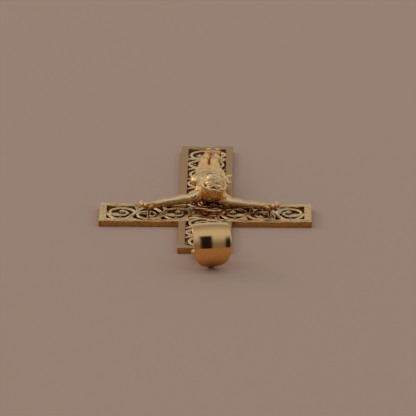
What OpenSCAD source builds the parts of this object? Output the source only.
// Crucifix pendant: a pierced scrollwork cross, a cast figure nailed to it, and a bail that
// swings on a wire eye. It lies on its back: +X is the figure's left hand, +Y is the head
// end with the bail, +Z is the face. Millimetres.

/* [Cross] */
// Length of the upright
upright_l = 46.7; // [44:0.1:56]
// Length of the crossbar
crossbar_l = 32; // [30:0.1:40]
// Width of the upright and of the crossbar
bar_w = 8; // [7.4:0.1:9.5]
// Length of upright above the crossbar
head_arm = 11.8; // [10:0.1:15]
// Thickness of the flat frame
frame_t = 1.05; // [0.9:0.05:1.5]
// Width of the flat frame round the filigree
rim_w = 1.1; // [0.8:0.05:1.4]

/* [Filigree] */
// How far the filigree lies below the frame's front face
recess_front = 0.15; // [0.05:0.05:0.3]
// How far the filigree lies above the frame's back face
recess_back = 0.15; // [0.05:0.05:0.3]
// Width of the scroll stems
stem_w = 0.48; // [0.38:0.02:0.56]
// Half the width of the chinks that solder fills where stems meet
solder_fill = 0.1; // [0.04:0.02:0.14]
// Radius of the berry at the end of each scroll
berry_r = 0.5; // [0.36:0.02:0.56]
// Scrolls in each side arm
side_cells = 3; // [2:1:4]
// Scrolls in the arm above the crossbar
head_cells = 3; // [2:1:4]
// Scrolls in the arm below the crossbar
foot_cells = 6; // [5:1:7]

/* [Eye] */
// Radius of the eye's wire
wire_r = 0.38; // [0.3:0.02:0.45]
// Radius of the eye's ring, to the wire's centre line
ring_r = 1.6; // [1.4:0.05:2]
// Length of the short stem between the head end and the ring
stem_l = 0.3; // [0.2:0.05:1]
// Radius of the short stem
stem_r = 0.45; // [0.35:0.02:0.5]

/* [Bail] */
// Outer radius of the bail's round end
bail_r = 3.3; // [2.8:0.05:3.6]
// Distance from the hinge to the centre of the round end
bail_reach = 2.4; // [2.4:0.05:4]
// Thickness of the bail's metal
bail_t = 0.42; // [0.3:0.02:0.55]
// Width of the band round its outer end
bail_w = 5.7; // [4:0.1:6]
// Width of the band at its neck
neck_w = 1.25; // [1:0.05:1.5]
// Clearance between the ring's wire and the inside of the neck
neck_gap = 0.12; // [0.1:0.01:0.16]
// How far round the ring the bail has slid
bail_slide = 24; // [16:1:26]
// Sideways turn of the bail as it lies
bail_yaw = 9; // [5:1:12]

/* [Figure] */
// Height of the figure from crown to toes
figure_h = 26.2; // [24:0.1:28]
// Gap between the back of the figure and the cross
seat_gap = 0.03; // [0.02:0.01:0.06]
// Radius of a nail's shank
nail_r = 0.2; // [0.14:0.01:0.24]
// Radius of a nail's head
nail_head_r = 0.36; // [0.3:0.01:0.45]
// Gap between a nail's shank and what it passes through
nail_gap = 0.04; // [0.03:0.01:0.06]

/* [Hidden] */
GOLD = [0.83, 0.66, 0.36];
BRIGHT_GOLD = [0.88, 0.70, 0.38];
round_sides = 96;

// The crossing's centre is the drawing's centre until the last shift.
head_end = bar_w / 2 + head_arm;
foot_end = head_end - upright_l;
window_half = bar_w / 2 - rim_w;
panel_bottom = recess_back;
panel_top = frame_t - recess_front;
seat_z = frame_t + seat_gap;

// The neck clears the curved wire over its whole width, and turns clear of the floor.
skew = bail_slide - bail_yaw;
inner_chord = neck_w / 2 + ring_r * abs(sin(skew));
neck_in = ring_r * cos(skew) - sqrt(pow(ring_r - wire_r, 2) - pow(inner_chord, 2)) + neck_gap;
neck_out = neck_in + bail_t;
floor_gap = 0.03;

// The ring tilts towards the face, so that the wire stands at the neck's height.
hinge_z = neck_out + floor_gap;
ring_middle = stem_l + wire_r + ring_r;
hinge_reach = ring_middle + ring_r * cos(bail_slide);
eye_tilt = asin((hinge_z - frame_t / 2) / hinge_reach);
hinge_x = -ring_r * sin(bail_slide);
hinge_y = head_end + hinge_reach * cos(eye_tilt);

// The bail lies with its round end on the floor.
bail_pitch = asin((bail_r - hinge_z) / bail_reach);
bail_end_y = hinge_y + (bail_reach * cos(bail_pitch) + bail_r) * cos(bail_yaw) + bail_w / 2 * sin(bail_yaw);
taper_share = 1;
taper_power = 0.65;
run_share = 0.995;
neck_run_share = 0.7;
middle_y = (bail_end_y + foot_end) / 2;

// The scrollwork, in cells that divide the length of each arm.
half_stem = stem_w / 2;
middle_half = 2.3;
wave_reach = window_half - half_stem * 0.4;
scroll_steps = 22;
scroll_start = 12;
scroll_turn = 440;
scroll_drop = 0.42;
scroll_eye = 0.72;
// Where the leaf inside a scroll starts, as a share of the scroll's turn.
curl_start = 0.46;
curl_turn = 70;
wave_steps = 8;
// The thin layers' window is this much wider than the sheet's on each side.
rim_step = 0.02;

// One hundredth of the figure's height: the figure's tables are in these.
fh = figure_h / 100;

// Columns of a limb's row: x towards the left hand, y towards the head, z above the seat, all
// in hundredths of the figure's height, then the radius.
LIMB_R = 3;
LEFT_ARM = [
    [4.4, -12.9, 4.7, 3.2],
    [7.8, -11.8, 3.9, 3.0],
    [13.0, -10.2, 3.7, 2.75],
    [18.8, -8.3, 3.4, 2.45],
    [22.6, -6.9, 3.0, 2.45],
    [29.4, -4.3, 2.7, 1.75]
];
RIGHT_ARM = [
    [-10.2, -11.8, 2.9, 3.3],
    [-13.6, -10.4, 2.1, 3.1],
    [-18.4, -9.2, 1.8, 2.85],
    [-23.6, -7.6, 1.8, 2.55],
    [-27.2, -6.2, 1.9, 2.5],
    [-33.8, -3.9, 2.3, 1.75]
];
LEFT_LEG = [
    [1.3, -45.5, 5.2, 4.0],
    [1.7, -52.0, 5.6, 3.8],
    [1.9, -60.0, 6.0, 3.4],
    [1.8, -69.5, 6.3, 2.9],
    [1.3, -74.0, 5.6, 2.6],
    [0.7, -81.0, 4.9, 2.7],
    [-0.2, -89.5, 4.0, 1.9],
    [-0.6, -94.0, 3.5, 1.6]
];
RIGHT_LEG = [
    [-5.8, -45.3, 5.2, 4.0],
    [-5.4, -51.8, 5.6, 3.8],
    [-4.9, -59.8, 6.0, 3.3],
    [-4.6, -69.2, 6.3, 2.8],
    [-4.8, -73.7, 5.6, 2.5],
    [-5.1, -80.7, 4.9, 2.6],
    [-5.5, -89.2, 4.0, 1.8],
    [-5.7, -93.7, 3.5, 1.6]
];

// Columns of a section's row: towards the head, the middle's x and z, half width, half depth.
ALONG = 0;
MID_X = 1;
MID_Z = 2;
HALF_W = 3;
HALF_D = 4;
TRUNK = [
    [-9.4, -3.4, 6.4, 2.3, 2.3],
    [-11.2, -3.2, 6.0, 3.6, 2.8],
    [-12.9, -3.0, 5.5, 7.4, 3.7],
    [-16.0, -2.7, 5.4, 8.9, 4.7],
    [-20.5, -2.4, 5.6, 9.1, 5.4],
    [-25.5, -2.3, 5.6, 8.4, 5.2],
    [-30.0, -2.4, 5.1, 7.0, 4.4],
    [-34.5, -2.5, 4.9, 6.4, 4.1],
    [-39.0, -2.5, 5.0, 7.0, 4.3],
    [-44.0, -2.5, 5.1, 7.8, 4.6],
    [-48.0, -2.5, 5.2, 7.7, 4.5]
];

// The trunk's muscles: the middle's place and the half sizes along x, y and z.
MUSCLES = [
    [1.8, -17.6, 8.7, 4.2, 3.0, 1.9],
    [-6.5, -17.4, 8.7, 4.2, 3.0, 1.9],
    [-0.7, -27.0, 8.6, 1.8, 2.0, 1.3],
    [-4.0, -27.0, 8.6, 1.8, 2.0, 1.3],
    [-0.7, -30.8, 7.9, 1.7, 1.9, 1.3],
    [-4.0, -30.8, 7.9, 1.7, 1.9, 1.3],
    [-2.5, -35.6, 6.9, 3.7, 3.2, 2.2]
];
rib_pairs = 4;

// Each row of the loincloth, laid out like the trunk's.
CLOTH = [
    [-36.0, -2.5, 4.9, 6.9, 4.4],
    [-38.0, -2.5, 5.1, 7.9, 5.0],
    [-41.5, -2.6, 5.3, 8.5, 5.4],
    [-45.0, -2.6, 5.4, 8.6, 5.6],
    [-48.6, -2.6, 5.5, 8.3, 5.5],
    [-50.2, -2.7, 5.5, 7.9, 5.2],
    [-51.0, -2.7, 5.5, 7.2, 4.7]
];
KNOT = [-11.2, -39.8, 5.8];
cloth_folds = 12;
cloth_fold_depth = 0.055;
fold_drift = 9;
trunk_sides = 22;

// Where the nails stand: [towards the left hand, towards the head], in the same hundredths.
LEFT_PALM = [32.6, -3.1];
RIGHT_PALM = [-37.0, -2.7];
LEFT_INSTEP = [-0.8, -97.2];
RIGHT_INSTEP = [-5.9, -97.0];
NAIL_SPOTS = [LEFT_PALM, RIGHT_PALM, LEFT_INSTEP, RIGHT_INSTEP];
palm_top = 3.0;
instep_top = 4.4;
boss_r = nail_r + nail_gap + 0.4;
foot_link = 1.1;
nail_head_t = 0.2;

// The head: its middle, how far it leans to the right shoulder, how far the chin is drawn
// in, and how far it turns to the right.
HEAD = [-4.4, -8.8, 10.2];
head_size = 1.36;
head_lean = 14;
head_bow = 24;
head_turn = 10;
wreath_steps = 15;
wreath_thorns = 11;

function reversed(list) = [for (i = [len(list) - 1:-1:0]) list[i]];

// One side of a stroke along a path of [x, y, half width].
function stroke_side(path, side) = [
    for (i = [0:len(path) - 1])
        let (before = path[max(i - 1, 0)])
        let (after = path[min(i + 1, len(path) - 1)])
        let (step = [after.x - before.x, after.y - before.y])
        let (across = [-step.y, step.x] / norm(step))
        [path[i].x, path[i].y] + side * path[i].z * across
];

module stroke(path) {
    polygon(concat(stroke_side(path, 1), reversed(stroke_side(path, -1))));
}

// A scroll that winds in from the edge of its cell to a berry.
function scroll_path(pitch, side) = [
    for (i = [0:scroll_steps])
        let (t = i / scroll_steps)
        let (angle = 180 + side * (scroll_turn * t - scroll_start))
        let (r = pitch / 2 + half_stem * 0.2 - (pitch / 2 - scroll_eye) * pow(t, 1.15))
        [pitch / 2 + r * cos(angle), -side * scroll_drop + r * sin(angle), half_stem * (1 - 0.25 * t)]
];

// The main stem swings to one rim and back within each cell.
function wave_path(pitch, side) = [
    for (i = [0:wave_steps])
        let (t = i / wave_steps)
        [pitch * t, side * wave_reach * pow(sin(180 * t), 0.8), half_stem]
];

// A leaf inside the scroll, from its outer turn in to the berry.
function curl_leaf_path(pitch, side) = [
    for (t = [0:0.25:1])
        let (angle = 180 + side * (scroll_turn * curl_start - scroll_start + curl_turn * t))
        let (r = pitch / 2 * (0.86 - 0.62 * t))
        [pitch / 2 + r * cos(angle), -side * scroll_drop + r * sin(angle), half_stem * (0.6 + 0.9 * sin(180 * t))]
];

// A leaf that runs from a node of the main stem out to the rim.
function leaf_path(side, lean) = [
    for (t = [0:0.25:1])
        [lean * 0.55 * sin(180 * t), side * (window_half + 0.2) * t, half_stem * (0.7 + 0.75 * sin(180 * t))]
];

module berry_outline(pitch, side) {
    last = scroll_path(pitch, side)[scroll_steps];
    translate([last.x, last.y]) circle(berry_r, $fn = 12);
}

module scroll_cell(pitch, side) {
    stroke(scroll_path(pitch, side));
    stroke(wave_path(pitch, side));
    stroke(curl_leaf_path(pitch, side));
    stroke(leaf_path(side, side));
    stroke(leaf_path(-side, -side));
    berry_outline(pitch, side);
}

module scroll_arm(length, cells, first = 1) {
    pitch = length / cells;
    for (i = [0:cells - 1])
        translate([i * pitch, 0]) scroll_cell(pitch, i % 2 == 0 ? first : -first);
}

module arms_of_scrolls() {
    side_l = crossbar_l / 2 - rim_w - middle_half;
    for (first = [1, -1])
        rotate(90 - 90 * first) translate([middle_half, 0]) scroll_arm(side_l, side_cells, first);
    rotate(90) translate([middle_half, 0]) scroll_arm(head_end - rim_w - middle_half, head_cells);
    rotate(-90) translate([middle_half, 0]) scroll_arm(-foot_end - rim_w - middle_half, foot_cells);
}

// The rosette behind the figure's chest.
module middle_rosette() {
    difference() {
        circle(middle_half + half_stem * 0.4, $fn = 36);
        circle(middle_half - half_stem * 1.2, $fn = 36);
    }
    circle(0.62, $fn = 12);
    for (turn = [45:90:315]) {
        rotate(turn) stroke([for (t = [0:0.2:1]) [0.3 + (middle_half + 1.9) * t, 0, half_stem]]);
        rotate(turn + 45) stroke([for (t = [0:0.2:1]) [0.3 + middle_half * t, 0, half_stem * (0.8 + sin(180 * t))]]);
    }
}

module cross_outline(inset) {
    translate([-crossbar_l / 2 + inset, -bar_w / 2 + inset])
        square([crossbar_l - 2 * inset, bar_w - 2 * inset]);
    translate([-bar_w / 2 + inset, foot_end + inset])
        square([bar_w - 2 * inset, upright_l - 2 * inset]);
}

// The seats under the nails, each on a bar from rim to rim.
module nail_seats() {
    for (spot = NAIL_SPOTS * fh) translate(spot) circle(boss_r, $fn = 24);
    for (spot = [LEFT_PALM, RIGHT_PALM] * fh)
        translate([spot.x - half_stem, -bar_w / 2 + rim_w / 2]) square([stem_w, bar_w - rim_w]);
    for (spot = [LEFT_INSTEP * fh]) {
        translate([-bar_w / 2 + rim_w / 2, spot.y - half_stem]) square([bar_w - rim_w, stem_w]);
        translate([-half_stem, spot.y - foot_link]) square([stem_w, foot_link]);
    }
}

module rim_band(outer, inner) {
    difference() {
        cross_outline(outer);
        cross_outline(inner);
    }
}

// Rim, stems and berries as one outline, with the chinks between them filled.
module sheet_outline() {
    offset(delta = -solder_fill, chamfer = true) {
        offset(delta = solder_fill) {
            rim_band(rim_w / 2, rim_w);
            intersection() {
                cross_outline(rim_w / 2);
                union() {
                    arms_of_scrolls();
                    middle_rosette();
                    nail_seats();
                }
            }
        }
        rim_band(-solder_fill, rim_w / 2);
    }
}

// The pierced sheet lies between two thin layers of rim, so it is recessed on both faces.
module pierced_frame() {
    linear_extrude(panel_bottom) rim_band(0, rim_w - rim_step);
    translate([0, 0, panel_bottom]) linear_extrude(panel_top - panel_bottom) sheet_outline();
    translate([0, 0, panel_top]) linear_extrude(frame_t - panel_top) rim_band(0, rim_w - rim_step);
}

// A ring of round wire on a short stem, soldered to the head end and tilted towards the face.
module eye() {
    translate([0, head_end, frame_t / 2]) rotate([eye_tilt, 0, 0]) {
        translate([0, ring_middle, 0]) rotate_extrude($fn = round_sides) translate([ring_r, 0]) circle(wire_r, $fn = 32);
        translate([0, -rim_w / 2, 0]) rotate([-90, 0, 0]) cylinder(r = stem_r, h = rim_w / 2 + stem_l + wire_r, $fn = 32);
    }
}

module nail_bores() {
    for (spot = NAIL_SPOTS * fh)
        translate([spot.x, spot.y, -1]) cylinder(r = nail_r + nail_gap, h = frame_t + 2, $fn = 24);
}

module cross_at_crossing() {
    difference() {
        union() {
            pierced_frame();
            eye();
        }
        nail_bores();
    }
}

module cross() {
    color(GOLD) translate([0, -middle_y, 0]) cross_at_crossing();
}

// A closed loft through rows of [towards the head, middle x, middle z, half width, half depth].
// Folds run round it as waves.
function loft_ring(row, sides, folds, fold_depth) = [
    for (i = [0:sides - 1])
        let (angle = 360 * i / sides)
        let (swell = 1 + fold_depth * sin(folds * angle + row[ALONG] * fold_drift))
        [row[MID_X] + row[HALF_W] * swell * cos(angle), row[ALONG],
         row[MID_Z] + row[HALF_D] * swell * sin(angle)] * fh
];

module loft(rows, sides, folds = 0, fold_depth = 0) {
    rings = [for (row = rows) each loft_ring(row, sides, folds, fold_depth)];
    last = (len(rows) - 1) * sides;
    walls = [
        for (r = [0:len(rows) - 2], i = [0:sides - 1])
            let (next = (i + 1) % sides)
            [r * sides + i, (r + 1) * sides + i, (r + 1) * sides + next, r * sides + next]
    ];
    first_cap = [for (i = [0:sides - 1]) i];
    last_cap = [for (i = [sides - 1:-1:0]) last + i];
    polyhedron(rings, concat(walls, [first_cap, last_cap]), convexity = 6);
}

// A tapered round limb through rows of [x, y, z, radius].
module limb(rows, sides = 10) {
    for (i = [0:len(rows) - 2])
        hull() {
            for (row = [rows[i], rows[i + 1]])
                translate([row.x, row.y, row.z] * fh) sphere(row[LIMB_R] * fh, $fn = sides);
        }
}

module ball(place, radii, sides = 16) {
    translate(place * fh) scale(radii * fh) sphere(1, $fn = sides);
}

// A slim lock, twig or cord: points [x, y, z] with a radius that runs from one end to the other.
module strand(points, r_from, r_to, sides = 5) {
    last = len(points) - 1;
    limb([for (i = [0:last]) concat(points[i], [r_from + (r_to - r_from) * i / last])], sides);
}

module trunk() {
    loft(TRUNK, trunk_sides);
    for (m = MUSCLES) ball([m.x, m.y, m.z], [m[3], m[4], m[5]], 12);
    for (side = [-1, 1], n = [0:rib_pairs - 1])
        strand([
            for (t = [0:1 / 3:1])
                [-2.3 + side * (2.2 + 5.8 * t - 0.4 * n * (1 - t)), -21.6 - 2.0 * n - 2.6 * t * (1 - 0.5 * t),
                 10.4 - 0.6 * n - 4.4 * t * t]
        ], 0.42, 0.55, 4);
}

module arm(rows, palm, side) {
    wrist = rows[len(rows) - 1];
    limb(rows);
    hull() {
        translate([wrist.x, wrist.y, wrist.z] * fh) sphere(wrist[LIMB_R] * fh * 0.9, $fn = 10);
        ball([palm.x + side * 0.2, palm.y, palm_top - 1.1], [1.8, 2.2, 1.05], 12);
    }
    for (finger = [-1.5:1:1.5])
        strand([
            [palm.x + side * 1.0, palm.y + finger * 1.05, palm_top - 0.9],
            [palm.x + side * 3.3, palm.y + finger * 1.15 - 0.2, palm_top + 0.1],
            [palm.x + side * 4.5, palm.y + finger * 1.05 - 0.5, palm_top + 1.2],
            [palm.x + side * 3.7, palm.y + finger * 0.95 - 0.6, palm_top + 2.0]
        ], 0.7, 0.58);
    strand([
        [palm.x - side * 0.6, palm.y + 1.2, palm_top - 1.0],
        [palm.x + side * 0.9, palm.y + 2.6, palm_top - 0.8],
        [palm.x + side * 2.2, palm.y + 2.9, palm_top - 1.1]
    ], 0.65, 0.45);
}

module leg(rows, instep, side) {
    ankle = rows[len(rows) - 1];
    limb(rows);
    ball([rows[3].x, rows[3].y - 0.6, rows[3].z + 1.1], [2.2, 2.6, 2.1], 10);
    hull() {
        translate([ankle.x, ankle.y, ankle.z] * fh) sphere(ankle[LIMB_R] * fh, $fn = 10);
        ball([instep.x, instep.y, instep_top - 1.5], [1.7, 1.7, 1.5], 12);
        ball([instep.x + side * 0.4, instep.y - 3.4, instep_top - 2.2], [2.1, 1.3, 0.95], 12);
    }
    for (toe = [0:4])
        strand([
            [instep.x + side * (toe * 0.85 - 1.3), instep.y - 3.6, instep_top - 2.2],
            [instep.x + side * (toe * 0.9 - 1.2), instep.y - 5.6 + toe * 0.28, instep_top - 2.4]
        ], 0.7, toe == 0 ? 0.62 : 0.45);
}

module loincloth() {
    loft(CLOTH, 3 * cloth_folds, cloth_folds, cloth_fold_depth);
    // The rolled upper edge, slanting down to the knot.
    strand([
        for (a = [-30:24:210])
            [-2.5 + 8.2 * cos(a), -38.4 + 0.9 * cos(a), 5.1 + 5.2 * sin(a)]
    ], 0.75, 0.75);
    // Folds that sweep from the left thigh up to the knot.
    for (n = [0:3])
        strand([
            for (t = [0:0.25:1])
                [5.2 - 13.4 * t, -41.6 - 2.7 * n + (1.0 + 1.9 * n) * t, 9.0 + 2.3 * sin(180 * (0.12 + 0.8 * t)) - 1.4 * t]
        ], 0.55, 0.7);
    // The knot on the right hip, and the two ends that hang from it.
    ball(KNOT, [2.0, 2.1, 2.0], 12);
    for (tail = [[-2.6, -7.0, 0.2], [-0.8, -9.2, -0.8], [-2.4, 3.4, -0.6]])
        hull() {
            ball(KNOT, [1.0, 1.0, 1.0], 10);
            ball(KNOT + [tail.x * 0.8, tail.y * 0.6, tail.z], [1.4, 0.9, 0.8], 10);
            ball(KNOT + tail - [0, 0, 0.4], [1.6, 0.7, 0.6], 10);
        }
    // The gathered side over the left hip.
    hull() {
        ball([4.4, -36.8, 6.2], [1.6, 2.2, 2.6], 12);
        ball([6.2, -41.5, 4.6], [1.4, 2.4, 2.4], 12);
        ball([8.0, -36.4, 3.4], [1.1, 1.2, 1.5], 12);
    }
}

// The face looks up along the head's own z, with the crown along its y.
module face_and_hair() {
    ball([0, 0.4, -0.5], [4.95, 5.65, 5.65], 16);
    for (side = [-1, 1]) ball([side * 4.2, 2.3, 1.5], [0.7, 0.7, 0.7], 10);
    hull() {
        ball([0, -1.5, 0.8], [3.5, 3.6, 3.4], 14);
        ball([0, -4.9, 1.4], [1.9, 1.5, 2.0], 12);
    }
    // Brow, cheeks and eyelids.
    for (side = [-1, 1]) {
        strand([[side * 0.5, 0.5, 4.5], [side * 1.5, 0.9, 4.5], [side * 2.6, 0.5, 3.7]], 0.42, 0.34);
        ball([side * 1.9, -1.5, 3.2], [1.15, 1.1, 1.0], 12);
        ball([side * 1.45, -0.25, 3.75], [0.78, 0.45, 0.5], 12);
    }
    // Nose, lips and chin.
    hull() {
        ball([0, 0.4, 4.2], [0.42, 0.4, 0.4], 10);
        ball([0, -1.75, 4.9], [0.68, 0.5, 0.6], 10);
    }
    ball([0, -2.75, 4.1], [1.1, 0.3, 0.4], 12);
    ball([0, -3.25, 3.95], [0.9, 0.32, 0.42], 12);
    // Beard, in locks that meet below the chin.
    for (n = [-3:3])
        strand([
            [n * 1.0, -2.6, 3.3 - 0.42 * abs(n)],
            [n * 0.85, -4.6, 3.4 - 0.35 * abs(n)],
            [n * 0.35, -6.7 + 0.25 * abs(n), 2.6]
        ], 0.55, 0.32);
    // Hair, parted in the middle and falling to the shoulders.
    for (side = [-1, 1], n = [0:4])
        strand([
            for (t = [0:1 / 3:1])
                let (spread = 34 + 20 * n)
                [side * (0.3 + 4.6 * sin(spread) * sin(90 * min(1, t * 1.7)) + 0.25 * sin(540 * t + 60 * n)),
                 4.9 - 1.1 * n * t - 12.5 * t * t * (0.75 + 0.07 * n),
                 4.4 * cos(spread) * cos(45 * t) - 0.4 + 0.25 * cos(540 * t)]
        ], 0.85, 0.5);
    for (n = [-3:3])
        strand([
            for (t = [0:1 / 3:1])
                [n * (0.4 + 0.95 * sin(100 * t)), 5.0 - 3.4 * t * t, 3.4 - 7.4 * t - 0.08 * n * n]
        ], 0.75, 0.95);
}

function wreath_point(angle, phase) = [
    (4.75 + 0.35 * cos(5 * angle + phase)) * cos(angle),
    2.1 + 0.55 * sin(5 * angle + phase) + 0.5 * sin(angle),
    -0.3 + (4.95 + 0.35 * cos(5 * angle + phase)) * sin(angle)
];

// Two twigs wound round each other, with thorns.
module wreath() {
    for (phase = [0, 180])
        strand([for (n = [0:wreath_steps]) wreath_point(360 * n / wreath_steps, phase)], 0.56, 0.56, 4);
    for (n = [0:wreath_thorns - 1]) {
        angle = 360 * (n + 0.5) / wreath_thorns;
        at = wreath_point(angle, n % 2 == 0 ? 0 : 180);
        out = [cos(angle) * 1.0, n % 2 == 0 ? 1.15 : -0.35, sin(angle) * 1.0];
        strand([at, at + out], 0.4, 0.1, 4);
    }
}

module head() {
    translate(HEAD * fh) rotate([0, 0, head_lean]) rotate([head_bow, 0, 0]) rotate([0, -head_turn, 0])
        scale([1, 1, 1] * head_size) {
            face_and_hair();
            wreath();
        }
}

// The cast figure, flat at the back where it seats on the cross and drilled for the nails.
module corpus() {
    color(BRIGHT_GOLD) translate([0, -middle_y, seat_z]) difference() {
        union() {
            trunk();
            limb([[-3.0, -12.4, 6.2, 2.9], [-3.9, -9.4, 7.8, 2.6]]);
            // The muscle between the neck and the drawn-up right shoulder.
            limb([[-5.2, -12.2, 5.4, 2.2], [-9.4, -11.7, 4.9, 2.0]]);
            head();
            arm(LEFT_ARM, LEFT_PALM, 1);
            arm(RIGHT_ARM, RIGHT_PALM, -1);
            leg(LEFT_LEG, LEFT_INSTEP, 1);
            leg(RIGHT_LEG, RIGHT_INSTEP, -1);
            loincloth();
        }
        translate([-figure_h, -2 * figure_h, -figure_h]) cube([2 * figure_h, 3 * figure_h, figure_h]);
        for (spot = NAIL_SPOTS * fh)
            translate([spot.x, spot.y, -1]) cylinder(r = nail_r + nail_gap, h = figure_h, $fn = 24);
    }
}

module nail(spot, top) {
    head_z = seat_z + top * fh + nail_gap;
    color(BRIGHT_GOLD) translate([spot.x * fh, spot.y * fh - middle_y, 0]) {
        translate([0, 0, panel_bottom]) cylinder(r = nail_r, h = head_z - panel_bottom + nail_head_t / 2, $fn = 24);
        translate([0, 0, head_z]) cylinder(r = nail_head_r, h = nail_head_t, $fn = 24);
    }
}

// The bail's side view, as a slab: two round ends and the straight runs between them, with
// the hinge at the middle and the large end along +x.
module bail_slab(neck, end, width) {
    lean = asin((end - neck) / bail_reach);
    touch = [-sin(lean), cos(lean)] * run_share;
    rotate([90, 0, 0]) {
        cylinder(r = neck, h = width, center = true, $fn = round_sides);
        translate([bail_reach, 0, 0]) cylinder(r = end, h = width, center = true, $fn = round_sides);
        linear_extrude(width, center = true) polygon([
            neck * touch,
            [bail_reach, 0] + end * touch,
            [bail_reach, 0] + end * [touch.x, -touch.y],
            neck * [touch.x, -touch.y]
        ]);
    }
}

// The bail's plan: narrow at the neck and swelling to the full band.
module bail_plan() {
    start = neck_in * neck_run_share;
    full = bail_reach + bail_r * taper_share;
    side = [
        for (t = [0:0.1:1])
            [start + (full - start) * t, neck_w / 2 + (bail_w - neck_w) / 2 * pow(sin(90 * t), taper_power)]
    ];
    tip = bail_reach + bail_r + 1;
    outline = concat([[-neck_out - 1, neck_w / 2]], side, [[tip, bail_w / 2]]);
    polygon(concat(outline, reversed([for (p = outline) [p.x, -p.y]])));
}

module bail_at_hinge() {
    intersection() {
        difference() {
            bail_slab(neck_out, bail_r, 2 * bail_w);
            bail_slab(neck_in, bail_r - bail_t, 3 * bail_w);
        }
        translate([0, 0, -2 * bail_r]) linear_extrude(4 * bail_r) bail_plan();
    }
}

module bail() {
    color(BRIGHT_GOLD) translate([hinge_x, hinge_y - middle_y, hinge_z])
        rotate([0, 0, 90 + bail_yaw]) rotate([0, -bail_pitch, 0]) bail_at_hinge();
}

cross();
corpus();
nail(LEFT_PALM, palm_top);  // nail_left_hand
nail(RIGHT_PALM, palm_top);  // nail_right_hand
nail(LEFT_INSTEP, instep_top);  // nail_left_foot
nail(RIGHT_INSTEP, instep_top);  // nail_right_foot
bail();
